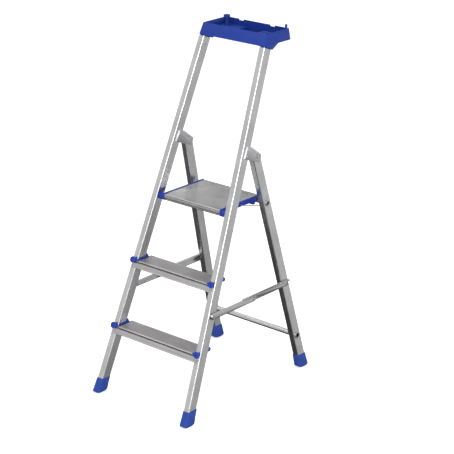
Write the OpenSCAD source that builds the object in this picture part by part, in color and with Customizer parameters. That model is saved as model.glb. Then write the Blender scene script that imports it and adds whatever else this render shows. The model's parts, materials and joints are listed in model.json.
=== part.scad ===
// Folding step ladder: two ribbed treads, a hinged platform and a tool tray on top.
// Millimetres, +Z up, +Y from the front towards the rear legs, origin on the floor under the middle.

/* [Frame] */
// Width over the front rails at the floor
base_w = 458; // [440:1:480]
// Lean of the front rails from upright, in degrees
front_lean = 22.2; // [21.5:0.1:23]
// Lean of the rear legs from upright, in degrees
rear_lean = 14.6; // [14:0.1:15.5]
// Inward lean of the rails and legs seen from the front, in degrees
side_taper = 3.14; // [2.8:0.02:3.4]
// Front face of the rails at the floor
front_y = -356; // [-360:0.1:-345]
// Length of a rail measured along it from the floor
rail_len = 1371; // [1365:1:1372]

/* [Profiles] */
// Width of the rail and leg profile
rail_w = 25; // [23:0.5:26]
// Depth of the rail and leg profile
rail_d = 40; // [38:0.5:42]
// Wall of the rail and leg profile
rail_wall = 1.6; // [1.2:0.1:2.5]
// Outer corner radius of the profile
rail_r = 4; // [3:0.5:5]

/* [Hinge] */
// Distance of the hinge axis along the rail from the floor
hinge_s = 994; // [985:0.2:1000]
// Distance of the hinge axis behind the rear face of the rail
hinge_back = 43.7; // [42:0.1:46]
// Thickness of the hinge cheeks
cheek_t = 2; // [1.5:0.1:2.5]
// Radius of the hinge pins
pin_r = 4; // [3:0.5:5]

/* [Treads] */
// Height of the lower tread
tread_z = 245; // [240:1:250]
// Step from one tread to the next
tread_rise = 234; // [230:1:236]
// Depth of a tread behind the front of the rails
tread_depth = 72; // [70:1:76]
// Height of the front flange of a tread
flange_h = 30; // [26:1:32]
// Radius of the buttons on the tread ends
button_r = 12; // [11:0.5:13]

/* [Platform] */
// Height of the platform
platform_z = 718; // [716:1:720]
// Half width of the deck between its side arms
deck_hw = 133; // [125:1:134]
// Front of the deck nose
deck_front = -57.5; // [-60:0.5:-56]
// Rear edge of the deck
deck_rear = 161.5; // [160:0.5:163]
// Radius of the pivot hubs
hub_r = 13; // [12:0.5:14]

/* [Rear frame] */
// Distance of the upper cross tube below the hinge along the legs
upper_u = 193.4; // [192:0.2:195]
// Radius of the upper cross tube
upper_r = 8; // [7:0.5:8]
// Distance of the lower cross tube below the hinge along the legs
lower_u = 773.7; // [760:1:790]
// Radius of the lower cross tube
lower_r = 10; // [9:0.5:11]

/* [Stays] */
// Distance of the stay pivot along the rail from the floor
stay_s = 407; // [400:1:412]
// Distance of the stay pivot below the hinge along the legs
stay_u = 540; // [536:1:544]
// Length of the front link between its pivots
stay_l = 228; // [224:1:230]

/* [Tool tray] */
// Height of the tray rim
tray_z = 1311; // [1305:1:1318]
// Height of the underside of the tray
tray_base = 1270; // [1270:1:1272]
// Height of the raised floor on the left of the tray
shelf_z = 1287; // [1280:1:1295]
// Height of the tool holder in the tray
holder_z = 1303; // [1290:1:1308]
// Wall of the tray
tray_wall = 3; // [2.5:0.5:4]
// Radius of the cap on the tray post
post_cap_r = 12; // [10:0.5:13]

/* [Hidden] */
$fn = 48;
eps = 0.05;
run = 0.05;
blue = "#3a55a8";
alu = "silver";
steel = "lightgray";

taper = tan(side_taper);
// Point at depth v behind the rail front and length s along the rail, as [y, z]
function rail_pt(v, s) = [
  front_y + v * cos(front_lean) + s * sin(front_lean),
  -v * sin(front_lean) + s * cos(front_lean)
];
hinge = rail_pt(rail_d + hinge_back, hinge_s);
// Point at depth v from the leg centre line and u below the hinge, as [y, z]
function leg_pt(v, u) = [
  hinge[0] + v * cos(rear_lean) + u * sin(rear_lean),
  hinge[1] + v * sin(rear_lean) - u * cos(rear_lean)
];
// Outer and inner faces of the rails at length s, and of the legs at u below the hinge
function rail_out(s) = base_w / 2 - taper * s;
function rail_in(s) = rail_out(s) - rail_w;
function leg_out(u) = rail_out(hinge_s) + taper * u;
function leg_in(u) = leg_out(u) - rail_w;
// Length along the rail front where it reaches the height z
function rail_s(z) = z / cos(front_lean);

hub = rail_pt(rail_d / 2, 768.9);
upper_tube = leg_pt(0, upper_u);
lower_tube = leg_pt(0, lower_u);
stay_f = rail_pt(rail_d / 2, stay_s);
stay_r = leg_pt(0, stay_u);
stay_a = atan2(stay_r[1] - stay_f[1], stay_r[0] - stay_f[0]);
stay_x = 205.6;
stay_hw = 11.6;
wire_x = 147;
wire_leg = leg_pt(-2, 213);
wire_deck = [47, 709.6];
// Length along the rail and distance below the hinge where the tubes end inside the feet
rail_start = 26;
leg_end = 903;

// ---- shared shapes ----

module left() {
  mirror([1, 0, 0]) children();
}

module rail_frame() {
  translate([0, front_y, 0]) rotate([-front_lean, 0, 0]) children();
}

// x = 0 is the outer face of the right rail, y its front face, z runs along it
module rail_side() {
  rail_frame() translate([base_w / 2, 0, 0]) rotate([0, -side_taper, 0]) children();
}

// x = 0 is the outer face of the right leg, y = 0 its centre line, z = 0 the hinge
module leg_side() {
  translate([rail_out(hinge_s), hinge[0], hinge[1]])
    rotate([rear_lean, 0, 0]) rotate([0, -side_taper, 0]) children();
}

// Extrudes a profile drawn in Y and Z along X
module along_x(x0, x1) {
  translate([x0, 0, 0]) rotate([90, 0, 90]) linear_extrude(x1 - x0) children();
}

// Extrudes a profile drawn in X and Z along Y
module along_y(y0, y1) {
  translate([0, y1, 0]) rotate([90, 0, 0]) linear_extrude(y1 - y0) children();
}

module rod_x(p, r, x0, x1) {
  translate([x0, p[0], p[1]]) rotate([0, 90, 0]) cylinder(r = r, h = x1 - x0);
}

module rounded(w, d, r) {
  translate([r, 0]) square([w - 2 * r, d]);
  translate([0, r]) square([w, d - 2 * r]);
  for (x = [r, w - r], y = [r, d - r]) translate([x, y]) circle(r);
}

// Solid outline of the profile, grown by g on every side
module profile_bar(g, h) {
  translate([-rail_w - g, -g, 0]) linear_extrude(h) rounded(rail_w + 2 * g, rail_d + 2 * g, rail_r + g);
}

module profile_tube(h) {
  difference() {
    profile_bar(0, h);
    translate([0, 0, -1]) profile_bar(-rail_wall, h + 2);
  }
}

// Round rivet head standing on z = 0, with a small open end
module rivet(r, h) {
  difference() {
    cylinder(r1 = r, r2 = r * 0.78, h = h);
    translate([0, 0, h / 2]) cylinder(r = r * 0.4, h = h);
  }
}

// ---- front rails and feet ----

module front_rail_right() {
  color(alu) rail_side() translate([0, 0, rail_start]) profile_tube(rail_len - rail_start);
}

module front_rail_left() {
  left() front_rail_right();
}

// Flared foot with a rocker sole; c is the centre line at the floor, t its slope, x the outer face
module foot_block(c, t, x) {
  intersection() {
    along_x(x - 60, x + 40) intersection() {
      polygon([
        [c + 55 * t - 23.6, 55], [c + 16 * t - 26, 16], [c - 26, 0],
        [c + 26, 0], [c + 16 * t + 26, 16], [c + 55 * t + 23.6, 55]
      ]);
      translate([c + 4 * t, 60]) circle(60, $fn = 96);
    }
    along_y(c - 90, c + 90) polygon([
      [x + 2.2, 0], [x + 2 - 14 * taper, 14], [x + 1.3 - 55 * taper, 55],
      [x - rail_w - 1.3 - 55 * taper, 55], [x - rail_w - 2 - 14 * taper, 14], [x - rail_w - 2.2, 0]
    ]);
  }
}

module front_foot_right() {
  color(blue) difference() {
    foot_block(front_y + rail_d / 2 / cos(front_lean), tan(front_lean), base_w / 2);
    rail_side() translate([0, 0, rail_start - 0.2]) profile_bar(0.1, 120);
  }
}

module front_foot_left() {
  left() front_foot_right();
}

// ---- treads ----

// Level nose, slot under it and flange, drawn in depth and length along the rail, in front of the rails
module tread_front(s) {
  difference() {
    union() {
      polygon([[0, s - 0.7], [-3.8, s - 2.3], [-4.8, s - 4.7], [0, s - 3.6]]);
      translate([-4.3, s - 3.5]) circle(1.3);
      translate([-1, s - flange_h]) square([1, flange_h - 1]);
      translate([-4.2, s - 10]) square([4.2, 2.2]);
      translate([-4.2, s - 8.9]) circle(1.1);
      translate([-2.6, s - flange_h]) square([2.6, flange_h - 9]);
      translate([-2.6, s - 18.5]) circle(1.2);
      translate([-2.2, s - flange_h + 1.8]) circle(1.8);
    }
    translate([0, s - 60]) square([10, 80]);
  }
}

// Flat ridges on the top, drawn from the point o where the top meets the rail front
module tread_ridges(o) {
  for (i = [0:10]) translate([o[0] + 1 + i * 6.4, o[1] - 1]) square([3.6, 1]);
}

// Plate, rear lip and underside ribs, drawn from the same point
module tread_body(o) {
  difference() {
    union() {
      translate([o[0] - 4, o[1] - 3]) square([tread_depth + 4, 2.4]);
      translate([o[0] + tread_depth - 2.2, o[1] - 20]) square([2.2, 19]);
      translate([o[0] + tread_depth - 9, o[1] - 20]) square([9, 2]);
      for (x = [16, 42]) translate([o[0] + x, o[1] - 12]) square([1.8, 10]);
    }
    translate([o[0] - 14, o[1] - 12]) square([10, 20]);
  }
}

module tread(z) {
  s = rail_s(z);
  color(alu) union() {
    rail_frame() along_x(-rail_out(s) + 5, rail_out(s) - 5) tread_front(s);
    along_x(-rail_in(s) + 2.2, rail_in(s) - 2.2) tread_body(rail_pt(0, s));
    along_x(-rail_in(s) + 6, rail_in(s) - 6) tread_ridges(rail_pt(0, s));
  }
}

module tread_lower() {
  tread(tread_z);
}

module tread_upper() {
  tread(tread_z + tread_rise);
}

// One moulding: front button, strip on the tread end and knob behind the rail
module tread_cap(z) {
  s = rail_s(z);
  o = rail_pt(0, s);
  xi = rail_in(s);
  xc = xi + rail_w / 2 + 2;
  sk = (z + 6 + (rail_d + 4) * sin(front_lean)) / cos(front_lean);
  color(blue) union() {
    rail_frame() {
      translate([xc, -6.2, s - 1.5]) rotate([90, 0, 0]) cylinder(r = button_r, h = 5.8);
      translate([xc, -12, s - 1.5]) rotate([90, 0, 0]) cylinder(r1 = button_r, r2 = button_r - 1.5, h = 1.5);
      translate([xc - 8, -6.4, s + 1.2]) cube([16, 6.3, 5.8]);
      translate([xi - 5.2, -11.5, s + 1.5]) cube([15, 5.3, 4.5]);
      translate([xi - 5.2, rail_d + 0.2, sk - 4]) cube([17, 5.6, 9]);
      translate([xc - taper * 20, rail_d + 9.4, sk]) rotate([90, 0, 0]) cylinder(r = 11, h = 9.2);
    }
    translate([xi - 5.2, o[0] - 9, z - 0.4]) cube([4, 65, 5]);
  }
}

module tread_cap_lower_right() {
  tread_cap(tread_z);
}

module tread_cap_lower_left() {
  left() tread_cap(tread_z);
}

module tread_cap_upper_right() {
  tread_cap(tread_z + tread_rise);
}

module tread_cap_upper_left() {
  left() tread_cap(tread_z + tread_rise);
}

module tread_rivets() {
  color(steel) for (z = [tread_z, tread_z + tread_rise], side = [-1, 1]) {
    s = rail_s(z) - 23;
    rail_frame() translate([side * (rail_out(s) - rail_w / 2), -2.6, s]) rotate([90, 0, 0]) rivet(3.2, 1.5);
  }
}

// ---- tool tray ----

// Side and front outlines of the tray body, inset by g, from the height z0 to its rim at z1
module tray_side_outline(g, z0, z1) {
  polygon([
    [162 + g, z0], [309 - g, z0], [306 - g, z1], [179 + g, z1]
  ]);
}

module tray_front_outline(g, z0, z1) {
  polygon([
    [-153 + g, z0], [153 - g, z0], [147.5 - g, z1], [-147.5 + g, z1]
  ]);
}

module tray_block(g, z0, z1) {
  intersection() {
    along_x(-200, 200) tray_side_outline(g, z0, z1);
    along_y(100, 400) tray_front_outline(g, z0, z1);
  }
}

// Socket under each tray corner, cut off square to the rail
module tray_boss() {
  a = rail_pt(0.5, rail_len);
  b = rail_pt(47.5, rail_len);
  along_x(rail_in(rail_len) - 3, rail_out(rail_len) - 0.6) polygon([
    a, b, [240, tray_base], [240, tray_base + 6], [176, tray_base + 6]
  ]);
  along_x(rail_in(rail_len) - 3, rail_out(rail_len) - 6) polygon([
    [176, 1272], [212, 1272], [212, 1292], [184, 1292]
  ]);
  inset = rail_wall + 0.9;
  rail_side() translate([inset - rail_w, rail_wall + 3, rail_len - 45])
    cube([rail_w - 2 * inset, rail_d - 2 * rail_wall - 4, 50]);
}

// Shell with a raised floor on the left and a tool holder, both open from below
module tray_shell() {
  difference() {
    union() {
      difference() {
        tray_block(0, tray_base, tray_z);
        tray_block(tray_wall, tray_base + tray_wall, tray_z + 1);
      }
      intersection() {
        tray_block(1, tray_base, tray_z);
        translate([-200, 100, tray_base]) cube([155, 400, shelf_z - tray_base]);
      }
      translate([84, 204, tray_base + 1]) cube([36, 38, holder_z - tray_base - 1]);
    }
    translate([-142, 186, tray_base - 5]) cube([94, 112, shelf_z - tray_base + 2]);
    translate([87, 207, tray_base - 5]) cube([30, 32, holder_z - tray_base + 2]);
    for (x = [94, 110]) translate([x, 223, holder_z - 10]) cylinder(r = 4, h = 20);
  }
}

module tool_tray() {
  color(blue) difference() {
    union() {
      tray_shell();
      tray_boss();
      left() tray_boss();
      translate([-122, 280, shelf_z - 1]) cylinder(r = 7, h = 1315 - shelf_z);
      translate([-122, 280, 1313]) cylinder(r = post_cap_r, h = 12);
      translate([140, 299, tray_base + 2]) cylinder(r = 4.5, h = 1325 - tray_base - 2);
    }
    for (x = [-73, 73]) translate([x - 11, 290, tray_z - 5]) cube([22, 40, 10]);
  }
}

module tray_rivets() {
  color(steel) for (m = [0, 1]) mirror([m, 0, 0])
    rail_side() translate([-rail_w, rail_d / 2, rail_len - 24]) rotate([0, -90, 0]) rivet(5, 2);
}

// ---- hinge brackets ----

module cheek_outline() {
  polygon([
    [17, hinge_s - 19], [19.5, hinge_s + 25], [41.5, hinge_s + 28],
    [104.5, hinge_s + 12], [106.5, hinge_s - 2], [100.5, hinge_s - 18]
  ]);
}

// Two joggled cheeks, one on each side of the rail and the leg
module hinge_bracket_right() {
  color(alu) difference() {
    rail_side() for (x = [[0, 1.4], [-rail_w, -rail_w - 1.4]]) {
      dir = x[1] > x[0] ? 1 : -1;
      far = x[1] + dir * cheek_t;
      along_x(min(x[1], far), max(x[1], far)) cheek_outline();
      along_x(min(x[0], x[1]), max(x[0], x[1])) intersection() {
        cheek_outline();
        translate([0, hinge_s - 50]) square([rail_d, 100]);
      }
    }
    rod_x(hinge, pin_r, 100, 240);
  }
}

module hinge_bracket_left() {
  left() hinge_bracket_right();
}

module bracket_rivets() {
  color(steel) for (m = [0, 1]) mirror([m, 0, 0]) rail_side()
    for (p = [[27, hinge_s + 14], [27, hinge_s - 10]]) {
      translate([1.4 + cheek_t, p[0], p[1]]) rotate([0, 90, 0]) rivet(4, 1.6);
      translate([-rail_w - 1.4 - cheek_t, p[0], p[1]]) rotate([0, -90, 0]) rivet(4, 1.6);
    }
}

module hinge_pins() {
  xo = rail_out(hinge_s);
  color(steel) for (m = [0, 1]) mirror([m, 0, 0]) {
    rod_x(hinge, pin_r, xo - rail_w - 5.6, xo + 5.6);
    rod_x(hinge, pin_r + 2.5, xo + 4, xo + 5.6);
    rod_x(hinge, pin_r + 2.5, xo - rail_w - 5.6, xo - rail_w - 4);
  }
}

module platform_pivot_pins() {
  color(steel) for (m = [0, 1]) mirror([m, 0, 0]) difference() {
    rod_x(hub, pin_r, deck_hw + 10, 170);
    rail_side() translate([0, 0, 600]) profile_bar(eps, 300);
  }
}

// ---- rear legs and cross tubes ----

module rear_leg_right() {
  color(alu) difference() {
    leg_side() intersection() {
      translate([0, -rail_d / 2, -leg_end]) profile_tube(leg_end + 14);
      along_x(-60, 30) polygon([
        [-rail_d / 2, -leg_end], [rail_d / 2, -leg_end], [rail_d / 2, -3], [5.4, 14], [-rail_d / 2, 14]
      ]);
    }
    rod_x(hinge, pin_r + run, 100, 240);
    rod_x(upper_tube, upper_r + 0.1, 100, 240);
    rod_x(lower_tube, lower_r + 0.1, 100, 260);
    rod_x(wire_leg, 1.5 + run, 100, leg_out(213) - 6);
    rod_x(stay_r, pin_r, leg_out(stay_u) - 6, 260);
  }
}

module rear_leg_left() {
  left() rear_leg_right();
}

module rear_foot_right() {
  c = hinge[0] + hinge[1] * tan(rear_lean);
  color(blue) difference() {
    foot_block(c, -tan(rear_lean), leg_out(hinge[1] / cos(rear_lean)));
    leg_side() translate([0, -rail_d / 2, -leg_end - 0.2]) profile_bar(0.1, 120);
  }
}

module rear_foot_left() {
  left() rear_foot_right();
}

// Tube through both legs, with its ends flared out over the outer faces
module cross_tube(p, r, x) {
  color(alu) difference() {
    union() {
      rod_x(p, r, -x - 1.6, x + 1.6);
      for (m = [0, 1]) mirror([m, 0, 0]) {
        rod_x(p, r + 3.4, x + 0.8, x + 1.6);
        translate([x + 1.6, p[0], p[1]]) rotate([0, 90, 0]) cylinder(r1 = r + 3.4, r2 = r + 1, h = 1.2);
      }
    }
    rod_x(p, r - 1.5, -x - 10, x + 10);
  }
}

module upper_cross_tube() {
  cross_tube(upper_tube, upper_r, leg_out(upper_u));
}

module lower_cross_tube() {
  cross_tube(lower_tube, lower_r, leg_out(lower_u));
}

module stay_pivot_pins() {
  color(steel) for (m = [0, 1]) mirror([m, 0, 0]) {
    rod_x(stay_r, pin_r, leg_out(stay_u) - 6, stay_x + 3);
    rod_x(stay_r, pin_r + 1.5, stay_x + 2.3, stay_x + 3.8);
  }
}

// ---- platform ----

module deck_outline() {
  difference() {
    union() {
      translate([deck_front + 6, platform_z - 3]) square([deck_rear - deck_front - 6, 2.2]);
      for (i = [0:25]) translate([deck_front + 18 + i * 7.6, platform_z - 1]) square([5, 1]);
      translate([deck_front, platform_z - 24]) rounded(15, 24, 5);
      translate([deck_rear - 2.4, platform_z - 20]) square([2.4, 20]);
      for (y = [-18, 26, 70, 114]) translate([y, platform_z - 14]) square([1.8, 12]);
    }
    translate([deck_front + 5, platform_z - 21.5]) rounded(7.8, 18.6, 3);
    for (z = [7, 16]) translate([deck_front - 1, platform_z - z - 1.2]) square([4, 2.4]);
  }
}

module platform_deck() {
  color(alu) along_x(-deck_hw, deck_hw) deck_outline();
}

// Side arm outline with the hook that rests on the upper cross tube
module arm_outline() {
  difference() {
    union() {
      polygon([
        [deck_front + 5, platform_z - 24], [deck_front + 22, platform_z - 20], [0, platform_z - 16],
        [98, platform_z - 16], [120, platform_z - 27], [deck_rear - 2, platform_z - 27],
        [deck_rear, platform_z - 22], [deck_rear, platform_z + 1.5], [deck_front + 8, platform_z + 1.5]
      ]);
      translate([deck_front, platform_z - 24]) rounded(20, 25.5, 6);
    }
    translate(upper_tube) {
      circle(upper_r + 0.4);
      polygon([
        [-7.3, 4.2], [-22.3, -21.8], [upper_r + 0.4, -21.8], [upper_r + 0.4, 0], [0, 0]
      ]);
    }
  }
}

module platform_arm_right() {
  color(blue) difference() {
    union() {
      along_x(deck_hw + 0.2, deck_hw + 6.5) arm_outline();
      rod_x(hub, hub_r, deck_hw + 0.2, rail_in(768) - 1.2);
    }
    rod_x(hub, pin_r + run, deck_hw + 9, 180);
  }
}

module platform_arm_left() {
  left() platform_arm_right();
}

// ---- stays ----

// x runs from the given pivot along the straight stay, y is up, in the plane of the stay
module stay_plane(p, x0, x1) {
  translate([0, p[0], p[1]]) rotate([stay_a, 0, 0]) along_x(x0, x1) children();
}

// Flat front link with round ends
module stay_front_right() {
  color(alu) stay_plane(stay_f, stay_x + 2.6, stay_x + 5.6) difference() {
    union() {
      translate([0, -stay_hw]) square([stay_l, 2 * stay_hw]);
      for (x = [0, stay_l]) translate([x, 0]) circle(stay_hw);
    }
    translate([stay_l, 0]) circle(pin_r + run);
  }
}

module stay_front_left() {
  left() stay_front_right();
}

// Angle section rear link, its top flange standing outwards over the front link
module stay_rear_right() {
  len = norm(stay_r - stay_f) - stay_l;
  color(alu) union() {
    stay_plane(stay_r, stay_x, stay_x + 2) difference() {
      translate([-len - 64, -9.5]) square([len + 76, stay_hw + 11.5]);
      circle(pin_r + run);
      translate([-len, 0]) circle(pin_r);
    }
    stay_plane(stay_r, stay_x, stay_x + 14) translate([-len - 64, stay_hw + 0.6]) square([len + 76, 2]);
  }
}

module stay_rear_left() {
  left() stay_rear_right();
}

module stay_mid_rivet_right() {
  p = stay_f + stay_l * [cos(stay_a), sin(stay_a)];
  color(steel) {
    rod_x(p, pin_r, stay_x - 0.6, stay_x + 6);
    rod_x(p, pin_r + 1.5, stay_x + 6, stay_x + 7.2);
  }
}

module stay_mid_rivet_left() {
  left() stay_mid_rivet_right();
}

module stay_front_rivet_right() {
  color(steel) translate([stay_x + 5.6, stay_f[0], stay_f[1]]) rotate([0, 90, 0]) rivet(9, 2.2);
}

module stay_front_rivet_left() {
  left() stay_front_rivet_right();
}

// ---- platform wire links ----

// Straight wire with one end bent into the leg and the other towards the platform arm
module wire_link_right() {
  d = wire_deck - wire_leg;
  color(steel) union() {
    translate([wire_x, wire_leg[0], wire_leg[1]]) rotate([90 - atan2(d[1], -d[0]), 0, 0])
      cylinder(r = 1.5, h = norm(d), $fn = 24);
    rod_x(wire_leg, 1.5, wire_x - 1.5, leg_in(213) + 5);
    rod_x(wire_deck, 1.5, deck_hw + 7.1, wire_x + 1.5);
  }
}

module wire_link_left() {
  left() wire_link_right();
}

front_rail_left();
front_rail_right();
front_foot_left();
front_foot_right();
tread_lower();
tread_upper();
tread_cap_lower_left();
tread_cap_lower_right();
tread_cap_upper_left();
tread_cap_upper_right();
tread_rivets();
tool_tray();
tray_rivets();
hinge_bracket_left();
hinge_bracket_right();
bracket_rivets();
hinge_pins();
platform_pivot_pins();
rear_leg_left();
rear_leg_right();
rear_foot_left();
rear_foot_right();
upper_cross_tube();
lower_cross_tube();
stay_pivot_pins();
platform_deck();
platform_arm_left();
platform_arm_right();
stay_rear_left();
stay_rear_right();
stay_mid_rivet_left();
stay_mid_rivet_right();
stay_front_left();
stay_front_right();
stay_front_rivet_left();
stay_front_rivet_right();
wire_link_left();
wire_link_right();
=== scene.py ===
import json
from math import cos, pi, radians, sin

import bmesh
import bpy
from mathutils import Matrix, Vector


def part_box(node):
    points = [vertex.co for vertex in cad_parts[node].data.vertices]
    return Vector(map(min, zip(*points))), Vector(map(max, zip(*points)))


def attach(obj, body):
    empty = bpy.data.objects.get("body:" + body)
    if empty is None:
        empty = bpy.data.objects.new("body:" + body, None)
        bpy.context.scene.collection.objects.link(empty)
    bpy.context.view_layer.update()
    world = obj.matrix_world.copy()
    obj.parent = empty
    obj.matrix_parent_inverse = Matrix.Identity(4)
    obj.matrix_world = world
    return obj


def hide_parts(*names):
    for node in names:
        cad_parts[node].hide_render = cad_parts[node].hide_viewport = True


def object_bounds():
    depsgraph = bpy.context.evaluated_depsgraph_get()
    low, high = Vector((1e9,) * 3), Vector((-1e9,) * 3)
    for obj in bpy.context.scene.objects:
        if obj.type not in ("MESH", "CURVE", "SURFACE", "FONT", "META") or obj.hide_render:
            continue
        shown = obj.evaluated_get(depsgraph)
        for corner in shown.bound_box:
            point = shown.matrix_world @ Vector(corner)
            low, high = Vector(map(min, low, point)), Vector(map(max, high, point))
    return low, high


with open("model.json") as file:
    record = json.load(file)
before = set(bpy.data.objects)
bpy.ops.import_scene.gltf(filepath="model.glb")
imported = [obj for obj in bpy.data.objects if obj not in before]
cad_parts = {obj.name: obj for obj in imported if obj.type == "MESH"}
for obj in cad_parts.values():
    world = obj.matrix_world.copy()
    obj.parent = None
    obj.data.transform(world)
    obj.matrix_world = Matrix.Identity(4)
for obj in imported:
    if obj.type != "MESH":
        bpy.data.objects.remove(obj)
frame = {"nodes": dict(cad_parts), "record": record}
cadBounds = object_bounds()
lowCorner, highCorner = (Vector(corner) for corner in cadBounds)
middle = (lowCorner + highCorner) / 2
mm = 0.001
print("frame loaded")


# profile sizes in millimetres and the angles of the frames in degrees
ladder = {"lean": 22.2, "taper": 3.14, "railWidth": 25, "railDepth": 40, "railStart": 26, "legLean": 14.6}
lean, taper, legTilt = (radians(ladder[angle]) for angle in ("lean", "taper", "legLean"))


# camera: three quarter view from the front right, a long lens
view = {"azimuth": 40.55, "elevation": 20.32, "distance": 5.879, "lens": 128.6, "sensor": 36,
        "right": 0.0915, "up": -0.0529}


def makeCamera():
    azimuth, elevation = radians(view["azimuth"]), radians(view["elevation"])
    forward = Vector((-sin(azimuth) * cos(elevation), cos(azimuth) * cos(elevation), -sin(elevation)))
    right = Vector((cos(azimuth), sin(azimuth), 0))
    up = right.cross(forward)
    aim = middle + right * view["right"] + up * view["up"]
    data = bpy.data.cameras.new("camera")
    data.lens = view["lens"]
    data.sensor_width = view["sensor"]
    camera = bpy.data.objects.new("camera", data)
    camera.location = aim - forward * view["distance"]
    camera.rotation_euler = forward.to_track_quat("-Z", "Y").to_euler()
    bpy.context.scene.collection.objects.link(camera)
    bpy.context.scene.camera = camera


makeCamera()
bpy.context.scene.view_settings.view_transform = "Standard"  # hex colours show as they are given
print("camera set")


# small tools for materials

def hexColour(text):
    parts = [int(text[i:i + 2], 16) / 255 for i in (1, 3, 5)]
    linear = [c / 12.92 if c <= 0.04045 else ((c + 0.055) / 1.055) ** 2.4 for c in parts]
    return (*linear, 1)


def addNode(tree, kind, settings=None, links=None):
    node = tree.nodes.new(kind)
    for name, value in (settings or {}).items():
        if name in node.inputs:
            node.inputs[name].default_value = value
        else:
            setattr(node, name, value)
    for name, source in (links or {}).items():
        tree.links.new(source, node.inputs[name])
    return node


def newMaterial(name):
    material = bpy.data.materials.new(name)
    material.use_nodes = True
    tree = material.node_tree
    tree.nodes.clear()
    shader = addNode(tree, "ShaderNodeBsdfPrincipled")
    addNode(tree, "ShaderNodeOutputMaterial", links={"Surface": shader.outputs["BSDF"]})
    return material, tree, shader


def coverWith(obj, material):
    obj.data.materials.clear()
    obj.data.materials.append(material)


# Extruded and anodised aluminium: the die leaves straight lines along the length, and the anodised
# skin is satin, so that highlights are long and soft and the faces are an even light grey.
extrusion = {
    "light": "#dcdcdd",
    "dark": "#c6c6c8",
    "roughness": 0.26,
    "lineWidth": 2.5,  # real die lines are near 0.3 mm, drawn coarser so that they show
    "lineLength": 260,
    "cloud": 70,  # patches left by handling and by the anodising bath
    "spread": (0.12, 0.42),  # where the pattern passes from dark to light
    "bump": 0.05,
    "bumpDepth": 0.2,
    "uneven": 1,  # how far the gloss varies, 1 for the usual satin
}


def extrudedAluminium(name, turn=(0, 0, 0), along=2, **changes):
    spec = {**extrusion, **changes}
    material, tree, shader = newMaterial(name)
    place = addNode(tree, "ShaderNodeTexCoord").outputs["Object"]
    rotated = addNode(tree, "ShaderNodeMapping", {"Rotation": turn}, {"Vector": place})
    stretch = [1 / (spec["lineWidth"] * mm)] * 3
    stretch[along] = 1 / (spec["lineLength"] * mm)
    fine = addNode(tree, "ShaderNodeMapping", {"Scale": stretch}, {"Vector": rotated.outputs["Vector"]})
    lines = addNode(tree, "ShaderNodeTexNoise", {"Scale": 1, "Detail": 3, "Roughness": 0.6},
                    {"Vector": fine.outputs["Vector"]})
    clouds = addNode(tree, "ShaderNodeTexNoise", {"Scale": 1 / (spec["cloud"] * mm), "Detail": 2},
                     {"Vector": place})
    both = addNode(tree, "ShaderNodeMath", {"operation": "MULTIPLY"},
                   {0: lines.outputs["Fac"], 1: clouds.outputs["Fac"]})
    colour = addNode(tree, "ShaderNodeValToRGB", links={"Fac": both.outputs["Value"]})
    colour.color_ramp.elements[0].position, colour.color_ramp.elements[1].position = spec["spread"]
    colour.color_ramp.elements[0].color = hexColour(spec["dark"])
    colour.color_ramp.elements[1].color = hexColour(spec["light"])
    rough = addNode(tree, "ShaderNodeMapRange",
                    {"From Min": 0.3, "From Max": 0.7, "To Min": spec["roughness"] - 0.05 * spec["uneven"],
                     "To Max": spec["roughness"] + 0.07 * spec["uneven"]}, {"Value": lines.outputs["Fac"]})
    bump = addNode(tree, "ShaderNodeBump", {"Strength": spec["bump"], "Distance": spec["bumpDepth"] * mm},
                   {"Height": lines.outputs["Fac"]})
    shader.inputs["Metallic"].default_value = 1
    tree.links.new(colour.outputs["Color"], shader.inputs["Base Color"])
    tree.links.new(rough.outputs["Result"], shader.inputs["Roughness"])
    tree.links.new(bump.outputs["Normal"], shader.inputs["Normal"])
    return material


# Injection moulded polypropylene: an even strong blue with a fine sparked grain, so the sheen is
# broad and soft, and it turns a little paler where edges have rubbed.
moulding = {
    "colour": "#19317e",
    "shade": "#162c75",
    "rubbed": "#3c57a8",
    "wear": 0,  # how much of the rubbed colour the edges get, for pieces with a fine mesh
    "ior": 1.49,
    "specular": 0.2,
    "roughness": 0.42,
    "grain": 1.6,  # sparked grain is near 0.3 mm, drawn coarser so that it shows
    "cloud": 45,
    "spread": (0.3, 0.7),
    "bump": 0.08,
    "bumpDepth": 0.15,
}


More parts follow.
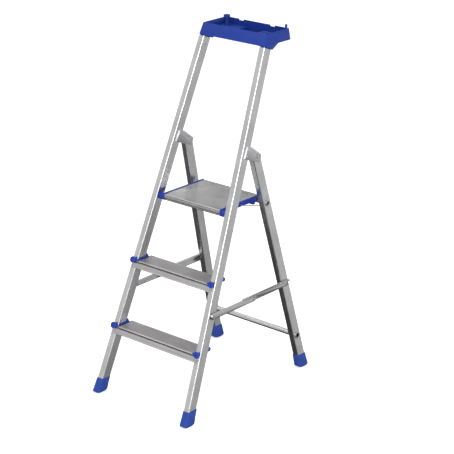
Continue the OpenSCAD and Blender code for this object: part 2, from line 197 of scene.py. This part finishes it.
def mouldedPolypropylene(name, **changes):
    spec = {**moulding, **changes}
    material, tree, shader = newMaterial(name)
    place = addNode(tree, "ShaderNodeTexCoord").outputs["Object"]
    clouds = addNode(tree, "ShaderNodeTexNoise", {"Scale": 1 / (spec["cloud"] * mm), "Detail": 3},
                     {"Vector": place})
    grain = addNode(tree, "ShaderNodeTexNoise", {"Scale": 1 / (spec["grain"] * mm), "Detail": 2},
                    {"Vector": place})
    body = addNode(tree, "ShaderNodeValToRGB", links={"Fac": clouds.outputs["Fac"]})
    body.color_ramp.elements[0].position, body.color_ramp.elements[1].position = spec["spread"]
    body.color_ramp.elements[0].color = hexColour(spec["shade"])
    body.color_ramp.elements[1].color = hexColour(spec["colour"])
    edge = addNode(tree, "ShaderNodeMapRange", {"From Min": 0.52, "From Max": 0.62, "To Max": spec["wear"]},
                   {"Value": addNode(tree, "ShaderNodeNewGeometry").outputs["Pointiness"]})
    worn = addNode(tree, "ShaderNodeMix", {"data_type": "RGBA"}, {"Factor": edge.outputs["Result"]})
    tree.links.new(body.outputs["Color"], worn.inputs[6])
    worn.inputs[7].default_value = hexColour(spec["rubbed"])
    rough = addNode(tree, "ShaderNodeMapRange",
                    {"From Min": 0.3, "From Max": 0.7, "To Min": spec["roughness"] - 0.04,
                     "To Max": spec["roughness"] + 0.06}, {"Value": grain.outputs["Fac"]})
    bump = addNode(tree, "ShaderNodeBump", {"Strength": spec["bump"], "Distance": spec["bumpDepth"] * mm},
                   {"Height": grain.outputs["Fac"]})
    shader.inputs["IOR"].default_value = spec["ior"]
    shader.inputs["Specular IOR Level"].default_value = spec["specular"]
    tree.links.new(worn.outputs[2], shader.inputs["Base Color"])
    tree.links.new(rough.outputs["Result"], shader.inputs["Roughness"])
    tree.links.new(bump.outputs["Normal"], shader.inputs["Normal"])
    return material


# Zinc plated steel, cold headed: brighter and a touch rougher in patches, with a faint grain.
plating = {
    "light": "#d2d4d6",
    "dark": "#a9abae",
    "spread": (0.35, 0.65),
    "roughness": 0.3,
    "cloud": 6,  # zinc patches, a few millimetres across
    "bump": 0.1,
    "bumpDepth": 0.1,
}


def platedSteel(name, **changes):
    spec = {**plating, **changes}
    material, tree, shader = newMaterial(name)
    place = addNode(tree, "ShaderNodeTexCoord").outputs["Object"]
    clouds = addNode(tree, "ShaderNodeTexNoise", {"Scale": 1 / (spec["cloud"] * mm), "Detail": 4},
                     {"Vector": place})
    colour = addNode(tree, "ShaderNodeValToRGB", links={"Fac": clouds.outputs["Fac"]})
    colour.color_ramp.elements[0].position, colour.color_ramp.elements[1].position = spec["spread"]
    colour.color_ramp.elements[0].color = hexColour(spec["dark"])
    colour.color_ramp.elements[1].color = hexColour(spec["light"])
    rough = addNode(tree, "ShaderNodeMapRange",
                    {"From Min": 0.3, "From Max": 0.7, "To Min": spec["roughness"] - 0.06,
                     "To Max": spec["roughness"] + 0.1}, {"Value": clouds.outputs["Fac"]})
    bump = addNode(tree, "ShaderNodeBump", {"Strength": spec["bump"], "Distance": spec["bumpDepth"] * mm},
                   {"Height": clouds.outputs["Fac"]})
    shader.inputs["Metallic"].default_value = 1
    tree.links.new(colour.outputs["Color"], shader.inputs["Base Color"])
    tree.links.new(rough.outputs["Result"], shader.inputs["Roughness"])
    tree.links.new(bump.outputs["Normal"], shader.inputs["Normal"])
    return material


railAluminium = extrudedAluminium("railAluminium", turn=(lean, 0, 0))
legAluminium = extrudedAluminium("legAluminium", turn=(-legTilt, 0, 0))
treadAluminium = extrudedAluminium("treadAluminium", along=0, light="#cecccd", dark="#b8b6b7",
                                   roughness=0.36)
deckAluminium = extrudedAluminium("deckAluminium", along=0, light="#c2c2c2", dark="#b6b6b6",
                                  roughness=0.24, bump=0.008, uneven=0.3)
tubeAluminium = extrudedAluminium("tubeAluminium", along=0, light="#d4d4d5", roughness=0.17)
stayAluminium = extrudedAluminium("stayAluminium", along=1, light="#d2d2d3")
bracketAluminium = extrudedAluminium("bracketAluminium", turn=(lean, 0, 0), light="#cfcfd0", roughness=0.4)
rivetSteel = platedSteel("rivetSteel")
trayPlastic = mouldedPolypropylene("trayPlastic")
armPlastic = mouldedPolypropylene("armPlastic", colour="#17308a", shade="#142a7c", roughness=0.36)
capPlastic = mouldedPolypropylene("capPlastic", colour="#17308a", shade="#142a7c", roughness=0.36,
                                  wear=0.45)
footPlastic = mouldedPolypropylene("footPlastic", colour="#1d3a86", shade="#1a347c", roughness=0.48,
                                   wear=0.3)

finishes = {
    "front_rail": railAluminium, "rear_leg": legAluminium, "tread_lower": treadAluminium,
    "tread_upper": treadAluminium, "platform_deck": deckAluminium, "upper_cross": tubeAluminium,
    "lower_cross": tubeAluminium, "stay_rear": stayAluminium, "stay_front": stayAluminium,
    "hinge_bracket": bracketAluminium, "tool_tray": trayPlastic, "tread_cap": capPlastic,
    "platform_arm": armPlastic, "front_foot": footPlastic, "rear_foot": footPlastic,
}


def finishOf(name):
    if "rivet" in name or "pin" in name or "wire" in name:
        return rivetSteel
    return next(material for start, material in finishes.items() if name.startswith(start))


for name, node in frame["nodes"].items():
    coverWith(node, finishOf(name))
print("materials made")


# small tools for shapes: they work in millimetres, and finishPiece turns the result to metres

def roundedRing(low, high, radius, steps=5):
    # outline of a rounded rectangle from corner low to corner high, as (a, b) points
    points = []
    centres = [(high[0] - radius, high[1] - radius), (low[0] + radius, high[1] - radius),
               (low[0] + radius, low[1] + radius), (high[0] - radius, low[1] + radius)]
    for quarter, (a, b) in enumerate(centres):
        for step in range(steps + 1):
            angle = (quarter + step / steps) * pi / 2
            points.append((a + radius * cos(angle), b + radius * sin(angle)))
    return points


def loft(bm, rings):
    # joins rings of points, all of one length, into a closed skin with flat ends
    rows = [[bm.verts.new(point) for point in ring] for ring in rings]
    count = len(rows[0])
    for lower, upper in zip(rows, rows[1:]):
        for i in range(count):
            bm.faces.new((lower[i], lower[(i + 1) % count], upper[(i + 1) % count], upper[i]))
    bm.faces.new(rows[0][::-1])
    bm.faces.new(rows[-1])


def prism(bm, outline, start, end, place):
    # outline of (a, b) points pushed from start to end; place(c, a, b) gives the point in space
    loft(bm, [[place(c, a, b) for a, b in outline] for c in (start, end)])


def roundedBox(bm, low, high, radius, place):
    # box with every edge softened
    soft = radius * 0.3
    levels = [(low[0], radius), (low[0] + soft, soft), (low[0] + radius, 0),
              (high[0] - radius, 0), (high[0] - soft, soft), (high[0], radius)]
    rings = [[place(c, a, b) for a, b in roundedRing((low[1] + inset, low[2] + inset),
                                                     (high[1] - inset, high[2] - inset), radius, 3)]
             for c, inset in levels]
    loft(bm, rings)


def turned(bm, profile, place, steps=40):
    # profile of (radius, height) points turned about an axis; place(a, b, height) gives the point
    rings = [[place(radius * cos(2 * pi * i / steps), radius * sin(2 * pi * i / steps), height)
              for i in range(steps)] for radius, height in profile]
    loft(bm, rings)


# angles between faces, in degrees, above which an edge is softened or is drawn sharp, and the
# limits in millimetres and degrees below which two points or two faces of a CAD mesh are one
edging = {"bevelAbove": 6.5, "segments": 2, "sharpAbove": 35, "samePoint": 0.001, "sameFace": 0.6}

bodyOf = {node: body for body, nodes in frame["record"]["behaviour"]["bodies"].items() for node in nodes}


def applyModifiers(obj):
    bpy.context.view_layer.update()
    shaped = obj.evaluated_get(bpy.context.evaluated_depsgraph_get())
    mesh = bpy.data.meshes.new_from_object(shaped)
    obj.modifiers.clear()
    obj.data = mesh


def finishPiece(node, bm, soften=0):
    # turns a shape in millimetres into the finished piece that stands for a node
    bmesh.ops.scale(bm, vec=(mm, mm, mm), verts=bm.verts)
    bmesh.ops.recalc_face_normals(bm, faces=bm.faces)
    name = node + "_finished"
    mesh = bpy.data.meshes.new(name)
    bm.to_mesh(mesh)
    bm.free()
    piece = bpy.data.objects.new(name, mesh)
    bpy.context.scene.collection.objects.link(piece)
    mesh.shade_smooth()
    if soften:
        bevel = piece.modifiers.new("softEdges", "BEVEL")
        bevel.width = soften * mm
        bevel.segments = edging["segments"]
        bevel.limit_method = "ANGLE"
        bevel.angle_limit = radians(edging["bevelAbove"])
        bevel.harden_normals = True
        applyModifiers(piece)
    else:
        mesh.set_sharp_from_angle(angle=radians(edging["sharpAbove"]))
    coverWith(piece, finishOf(node))
    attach(piece, bodyOf[node])
    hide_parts(node)


def meshOf(node):
    # the node's own shape in millimetres, with flat faces made whole
    bm = bmesh.new()
    bm.from_mesh(frame["nodes"][node].data)
    bmesh.ops.remove_doubles(bm, verts=bm.verts, dist=edging["samePoint"] * mm)
    bmesh.ops.dissolve_limit(bm, angle_limit=radians(edging["sameFace"]), verts=bm.verts, edges=bm.edges,
                             delimit={"NORMAL"})
    bmesh.ops.scale(bm, vec=(1 / mm, 1 / mm, 1 / mm), verts=bm.verts)
    return bm


def boxMm(node):
    low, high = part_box(node)
    return low / mm, high / mm


railLow, railHigh = boxMm("front_rail_right")
frontY = railLow.y - ladder["railStart"] * sin(lean)
halfWidth = railHigh.x + ladder["railStart"] * sin(taper)


def onRail(x, depth, along):
    # the ladder's own directions: straight across, behind the rail's front face, up along the rail
    return (x, frontY + depth * cos(lean) + along * sin(lean), along * cos(lean) - depth * sin(lean))


def plain(x, y, z):
    return (x, y, z)


def mirrored(place, side):
    # the same place on the other side of the ladder
    return lambda *where: (side * place(*where)[0], *place(*where)[1:])


def railInside(along):
    return halfWidth - (along * sin(taper) + ladder["railWidth"]) / cos(taper)


sides = {"right": 1, "left": -1}


# tread end caps: button in front, link from it to a strip on the tread end, clip and knob behind the rail
cap = {
    "buttonRadius": 12, "buttonBack": 6.2, "buttonFront": 13.5, "buttonOut": 2, "dish": 0.9, "drop": 1.5,
    "neckHalf": 8, "neckLow": 1.2, "neckHigh": 7,
    "linkLength": 15, "linkFront": 11.5, "linkLow": -2.8, "linkHigh": 1.2,
    "stripWidth": 4, "stripLength": 65, "stripHeight": 5, "stripOut": 5.2, "stripAhead": 9,
    "stripSunk": 0.4, "stripCorner": 0.9, "corner": 1,
    "clipLength": 17, "clipGap": 0.2, "clipBack": 5.8, "clipLow": 4, "clipHigh": 5,
    "knobRadius": 8.8, "knobDepth": 15.5, "knobRise": 6,
}


def treadCap(level, sideName):
    side = sides[sideName]
    height = boxMm("tread_" + level)[1].z
    along = height / cos(lean)
    inside = railInside(along)
    across = inside + ladder["railWidth"] / 2 + cap["buttonOut"]
    left = inside - cap["stripOut"]
    bm = bmesh.new()
    rail = mirrored(onRail, side)

    radius, front, rear = cap["buttonRadius"], cap["buttonFront"], cap["buttonBack"]
    profile = [(radius - 1, rear), (radius - 0.3, rear + 0.4), (radius, rear + 1.2), (radius, front - 2.6),
               (radius - 0.5, front - 1.3), (radius - 1.7, front - 0.4), (radius - 3.4, front),
               (radius - 5, front - 0.1), (radius - 6.4, front - cap["dish"]),
               (0.8, front - cap["dish"] - 0.3)]
    turned(bm, profile, lambda a, b, h: rail(across + a, -h, along - cap["drop"] + b))
    roundedBox(bm, (across - cap["neckHalf"], -rear - 0.2, along + cap["neckLow"]),
               (across + cap["neckHalf"], -0.1, along + cap["neckHigh"]), cap["corner"], rail)
    roundedBox(bm, (left, -cap["linkFront"], along + cap["linkLow"]),
               (left + cap["linkLength"], -rear, along + cap["linkHigh"]), cap["corner"], rail)

    back = ladder["railDepth"]
    rise = (height + cap["knobRise"] + (back + 4) * sin(lean)) / cos(lean)
    roundedBox(bm, (left, back + cap["clipGap"], rise - cap["clipLow"]),
               (left + cap["clipLength"], back + cap["clipBack"], rise + cap["clipHigh"]),
               cap["corner"], rail)
    knob, deep = cap["knobRadius"], cap["knobDepth"]
    knobX = across - 20 * sin(taper)
    profile = [(knob - 0.8, 0.2), (knob, 1), (knob, deep - 4), (knob - 0.6, deep - 2),
               (knob - 2, deep - 0.7), (knob - 4, deep - 0.1), (1, deep)]
    turned(bm, profile, lambda a, b, h: rail(knobX + a, back + h, rise + b))

    start = onRail(0, 0, along)[1] - cap["stripAhead"]
    low = (left, start, height - cap["stripSunk"])
    high = (left + cap["stripWidth"], start + cap["stripLength"], low[2] + cap["stripHeight"])
    roundedBox(bm, low, high, cap["stripCorner"], mirrored(plain, side))
    finishPiece("tread_cap_" + level + "_" + sideName, bm)


for level in ("lower", "upper"):
    for sideName in sides:
        treadCap(level, sideName)
print("tread caps made")


# feet: flared shoe with a rocker sole, a lip round the socket and grip grooves all round
shoe = {
    "height": 55, "ankle": 16, "soleHalf": 26, "topHalf": 23.6, "widthBottom": 2.2, "widthTop": 1.3,
    "rocker": 60, "rockerHeight": 6.5, "soleEdge": 1.5, "corner": 4.5,
    "lipStart": 53, "lipSlope": 0.8, "wall": 0.3, "socketDepth": 30, "socketCorner": 4.2,
    "grooves": (21, 28, 35), "grooveDepth": 0.8, "grooveSides": (-1.6, -0.7, 0.7, 1.6),
    "lowLevels": (0.15, 0.6, 1.5, 3, 4.5, 6.2, 9, 12.5, 16), "highLevels": (44, 51.5, 53.8, 54.7),
}


def shoeLevels():
    grooves = [groove + side for groove in shoe["grooves"] for side in shoe["grooveSides"]]
    return [*shoe["lowLevels"], *grooves, *shoe["highLevels"]]


def shoeRing(x, centre, slope, z, place):
    half = shoe["soleHalf"]
    if z > shoe["ankle"]:
        half += (shoe["topHalf"] - half) * (z - shoe["ankle"]) / (shoe["height"] - shoe["ankle"])
    share = z / shoe["height"]
    width = ladder["railWidth"] / 2 + shoe["widthBottom"] * (1 - share) + shoe["widthTop"] * share
    if z < shoe["rockerHeight"]:
        half = min(half, (shoe["rocker"] ** 2 - (shoe["rocker"] - z) ** 2) ** 0.5 + shoe["soleEdge"])
        width -= max(0, shoe["soleEdge"] - z)
    if any(abs(z - groove) < 1 for groove in shoe["grooves"]):
        width -= shoe["grooveDepth"]
        half -= shoe["grooveDepth"]
    if z > shoe["lipStart"]:
        width -= shoe["lipSlope"] * (z - shoe["lipStart"])
        half -= shoe["lipSlope"] * (z - shoe["lipStart"])
    middleY = centre + z * slope
    middleX = x - z * sin(taper)
    corner = min(shoe["corner"], half - 0.5)
    ring = roundedRing((middleX - width, middleY - half), (middleX + width, middleY + half), corner)
    return [place(a, b, z) for a, b in ring]


def foot(name, centre, slope, x, tilt, sideName):
    place = mirrored(plain, sides[sideName])
    middleX = x - ladder["railWidth"] / 2
    rings = [shoeRing(middleX, centre, slope, z, place) for z in shoeLevels()]
    wide = ladder["railWidth"] / 2 + shoe["wall"]
    deep = ladder["railDepth"] / 2 / cos(tilt) + shoe["wall"]
    for z in (shoe["height"] - 0.2, shoe["height"] - shoe["socketDepth"]):
        a, b = middleX - z * sin(taper), centre + z * slope
        socket = roundedRing((a - wide, b - deep), (a + wide, b + deep), shoe["socketCorner"])
        rings.append([place(c, d, z) for c, d in socket])
    bm = bmesh.new()
    loft(bm, rings)
    finishPiece(name, bm)


hingeY = sum(corner.y for corner in boxMm("hinge_pins")) / 2
hingeZ = sum(corner.z for corner in boxMm("hinge_pins")) / 2
pinAlong = hingeZ * cos(lean) + (hingeY - frontY) * sin(lean)
legOutAtFloor = halfWidth - pinAlong * sin(taper) + hingeZ / cos(legTilt) * sin(taper)
for sideName in sides:
    centre = frontY + ladder["railDepth"] / 2 / cos(lean)
    foot("front_foot_" + sideName, centre, sin(lean) / cos(lean), halfWidth, lean, sideName)
    centre = hingeY + hingeZ * sin(legTilt) / cos(legTilt)
    foot("rear_foot_" + sideName, centre, -sin(legTilt) / cos(legTilt), legOutAtFloor, legTilt, sideName)
print("feet made")


# treads: ridged plate, rounded nose over a deep slot, flange with a narrow slit and a bead below
tread = {
    "ridgeStep": 6.4, "ridgeWide": 3.6, "ridges": 11, "ridgeStart": 1, "ridgeEnd": 6,
    "depth": 72, "plate": 2.4, "rearLip": 20, "rearFoot": 9, "ribs": (16, 42), "ribDrop": 12, "endGap": 2.2,
    "nose": 4.9, "noseRadius": 1.7, "slotTop": 4.5, "slotBottom": 9.2, "slotDeep": 9, "slotFloor": 13,
    "flange": 30, "flangeThick": 2.6, "slitTop": 19, "slitBottom": 21.2, "slitFloor": 23.4,
    "beadRadius": 1.8,
}

# platform deck: the same ridged plate between the arms, with a thick nose and two grooves along it
deck = {
    "ridgeStep": 7.6, "ridgeWide": 5, "ridges": 26, "ridgeStart": 18, "plate": 2.2,
    "nose": 15, "noseHigh": 24, "corner": 4.5, "grooves": ((4.2, 7), (14.6, 17.4)), "grooveDeep": 7,
    "grooveFloor": 3.5, "rearLip": 20, "rearThick": 2.4, "ribs": (-18, 26, 70, 114), "ribDrop": 14,
}


def arc(centre, radius, start, end, steps=5):
    # points on a round corner, angles in degrees
    angles = [radians(start + (end - start) * step / steps) for step in range(steps + 1)]
    return [(centre[0] + radius * cos(angle), centre[1] + radius * sin(angle)) for angle in angles]


def block(a, b, width, height):
    return [(a, b), (a + width, b), (a + width, b + height), (a, b + height)]


def ridgedTop(spec):
    # flat ridges with a fine line along the middle of each, on a thin web
    outline = []
    wide, half = spec["ridgeWide"], spec["ridgeWide"] / 2
    for ridge in range(spec["ridges"]):
        a = spec["ridgeStart"] + ridge * spec["ridgeStep"]
        outline += [(a, -0.6), (a + 0.2, -0.05), (a + 0.4, 0), (a + half - 0.3, 0), (a + half, -0.3),
                    (a + half + 0.3, 0), (a + wide - 0.4, 0), (a + wide - 0.2, -0.05), (a + wide, -0.6)]
    return outline + [(outline[-1][0], -1.4), (outline[0][0], -1.4)]


def treadPiece(level):
    name = "tread_" + level
    outer, _, height = boxMm(name)[1]
    along = height / cos(lean)
    start = onRail(0, 0, along)[1]
    inside = railInside(along)
    edge, wide, thick = inside - tread["endGap"], tread["depth"], tread["flangeThick"]
    slotTop, slotBottom, flange = tread["slotTop"], tread["slotBottom"], tread["flange"]
    deep, lip = tread["slotDeep"], tread["rearLip"]
    bm = bmesh.new()

    def inFront(x, depth, up):
        return onRail(x, depth, along + up)

    def onLevel(x, depth, up):
        return (x, start + depth, height + up)

    radius = tread["noseRadius"]
    nose = [(0, -0.7), *arc((radius - tread["nose"], -3.5), radius, 75, 215), (-1, -slotTop), (0, -slotTop)]
    prism(bm, nose, -outer, outer, inFront)
    radius = tread["beadRadius"]
    front = [(0, -slotBottom - 0.4), *arc((-3.4, -slotBottom - 1), 1, 80, 190, 4),
             (-thick, -slotBottom - 2.4), (-thick, -tread["slitTop"]),
             (-0.8, -tread["slitTop"]), (-0.8, -tread["slitFloor"]),
             (-1.7, -tread["slitFloor"]), (-1.7, -tread["slitBottom"]), (-thick, -tread["slitBottom"]),
             (-thick, 2 * radius - flange), *arc((-2.3, radius - flange), radius, 110, 290, 6),
             (0, 0.1 - flange)]
    prism(bm, front, -outer, outer, inFront)
    slotEnd = block(-0.7, -slotBottom - 1, 0.7, slotBottom - slotTop + 2)
    for side in (-1, 1):
        prism(bm, slotEnd, side * edge, side * outer, inFront)
    for shape in (block(-3.6, -3, wide + 3.6, tread["plate"]), block(wide - 2.2, -lip, 2.2, lip - 1),
                  block(wide - tread["rearFoot"], -lip, tread["rearFoot"], 2),
                  *(block(rib, -tread["ribDrop"], 1.8, 10) for rib in tread["ribs"]),
                  block(deep, -tread["slotFloor"], 1.8, 11), block(-5, -tread["slotFloor"], deep + 6, 1.6)):
        prism(bm, shape, -edge, edge, onLevel)
    ridges = inside - tread["ridgeEnd"]
    prism(bm, ridgedTop(tread), -ridges, ridges, onLevel)
    finishPiece(name, bm)


def deckPiece():
    low, high = boxMm("platform_deck")
    bm = bmesh.new()

    def onLevel(x, depth, up):
        return (x, low.y + depth, high.z + up)

    tall, corner, sunk, lip = deck["noseHigh"], deck["corner"], deck["grooveDeep"], deck["rearLip"]
    outline = [(deck["nose"], -1), *arc((corner, -corner - 1), corner, 90, 180)]
    for top, bottom in deck["grooves"]:
        floor = -bottom - deck["grooveFloor"]
        outline += [(0, -top + 0.5), (0.5, -top), (sunk, -top), (sunk, floor), (1.4, floor),
                    (1.4, -bottom), (0.5, -bottom), (0, -bottom - 0.5)]
    outline += [*arc((corner, corner - tall), corner, 180, 270), (deck["nose"], -tall)]
    wide, thick = high.y - low.y, deck["rearThick"]
    shapes = [outline, block(6, -3, wide - 6, deck["plate"]), block(wide - thick, -lip, thick, lip - 0.8),
              *(block(rib - low.y, -deck["ribDrop"], 1.8, 12) for rib in deck["ribs"]), ridgedTop(deck)]
    for shape in shapes:
        prism(bm, shape, low.x, high.x, onLevel)
    finishPiece("platform_deck", bm)


treadPiece("lower")
treadPiece("upper")
deckPiece()
print("treads and deck made")


# edges of folded, sawn and moulded pieces are never sharp: width in millimetres for each kind of piece
softEdges = {"hinge_bracket": 0.6, "stay_rear": 0.4, "stay_front": 0.6, "platform_arm": 1, "tool_tray": 0.9}

for node in frame["nodes"]:
    for start, width in softEdges.items():
        if node.startswith(start):
            finishPiece(node, meshOf(node), soften=width)
print("edges softened")


# floor and studio light
studio = {
    "floorColour": "#fbfbfb",
    "floorSize": 60,
    "floorRoughness": 0.9,
    "floorGlow": 0.25,
    # brightness of the surroundings from straight down, 0, to straight up, 1
    "worldBands": [(0, 0.03), (0.2, 0.05), (0.34, 0.66), (0.5, 0.76), (0.64, 0.78), (0.7, 0.7),
                   (0.85, 1), (1, 1.1)],
    "flags": [
        # direction, cosines of its soft edge, and level: dark cards that give metal its dark sides
        ((-0.61, 0.72, -0.42), (0.8, 0.95), 0.07),
        ((-0.5, 0.77, 0.36), (0.9, 0.985), 0.24),
    ],
    "lamps": [
        # name, azimuth from the front, elevation, distance, width, height, power
        ("frontBox", 50, 22, 6.5, 3.6, 3.2, 280),
        ("topBox", -30, 72, 4.5, 3.5, 3.5, 90),
        ("leftCard", -126, 13, 1.75, 0.8, 1.3, 2),
    ],
}


def makeFloor():
    bpy.ops.mesh.primitive_plane_add(size=studio["floorSize"], location=(0, 0, lowCorner.z))
    floor = bpy.context.object
    floor.name = "floor"
    material, tree, shader = newMaterial("paperFloor")
    shader.inputs["Base Color"].default_value = hexColour(studio["floorColour"])
    shader.inputs["Roughness"].default_value = studio["floorRoughness"]
    shader.inputs["Emission Color"].default_value = hexColour(studio["floorColour"])
    shader.inputs["Emission Strength"].default_value = studio["floorGlow"]
    coverWith(floor, material)
    floor.visible_glossy = False


def makeWorld():
    world = bpy.data.worlds.new("studio")
    bpy.context.scene.world = world
    world.use_nodes = True
    tree = world.node_tree
    tree.nodes.clear()
    place = addNode(tree, "ShaderNodeTexCoord").outputs["Generated"]
    height = addNode(tree, "ShaderNodeSeparateXYZ", links={"Vector": place}).outputs["Z"]
    share = addNode(tree, "ShaderNodeMapRange", {"From Min": -1, "From Max": 1}, {"Value": height})
    bands = addNode(tree, "ShaderNodeValToRGB", links={"Fac": share.outputs["Result"]})
    ramp = bands.color_ramp
    while len(ramp.elements) < len(studio["worldBands"]):
        ramp.elements.new(0.5)
    for element, (position, level) in zip(ramp.elements, studio["worldBands"]):
        element.position = position
        element.color = (level, level, level, 1)
    seen = bands.outputs["Color"]
    for direction, (near, full), level in studio["flags"]:
        toFlag = addNode(tree, "ShaderNodeVectorMath", {"operation": "DOT_PRODUCT"}, {0: place})
        toFlag.inputs[1].default_value = Vector(direction).normalized()
        share = addNode(tree, "ShaderNodeMapRange", {"From Min": near, "From Max": full},
                        {"Value": toFlag.outputs["Value"]})
        flag = addNode(tree, "ShaderNodeMix", {"data_type": "RGBA"}, {"Factor": share.outputs["Result"]})
        tree.links.new(seen, flag.inputs[6])
        flag.inputs[7].default_value = (level, level, level, 1)
        seen = flag.outputs[2]
    glow = addNode(tree, "ShaderNodeBackground", {"Strength": 1}, {"Color": seen})
    addNode(tree, "ShaderNodeOutputWorld", links={"Surface": glow.outputs["Background"]})


def makeLamps():
    for name, azimuth, elevation, distance, width, height, power in studio["lamps"]:
        azimuth, elevation = radians(azimuth), radians(elevation)
        data = bpy.data.lights.new(name, "AREA")
        data.shape = "RECTANGLE"
        data.size = width
        data.size_y = height
        data.energy = power
        lamp = bpy.data.objects.new(name, data)
        flat = distance * cos(elevation)
        reach = Vector((flat * sin(azimuth), -flat * cos(azimuth), distance * sin(elevation)))
        lamp.location = middle + reach
        lamp.rotation_euler = (-reach).to_track_quat("-Z", "Y").to_euler()
        lamp.visible_camera = False
        bpy.context.scene.collection.objects.link(lamp)


makeFloor()
makeWorld()
makeLamps()
print("studio made")

bpy.context.view_layer.update()
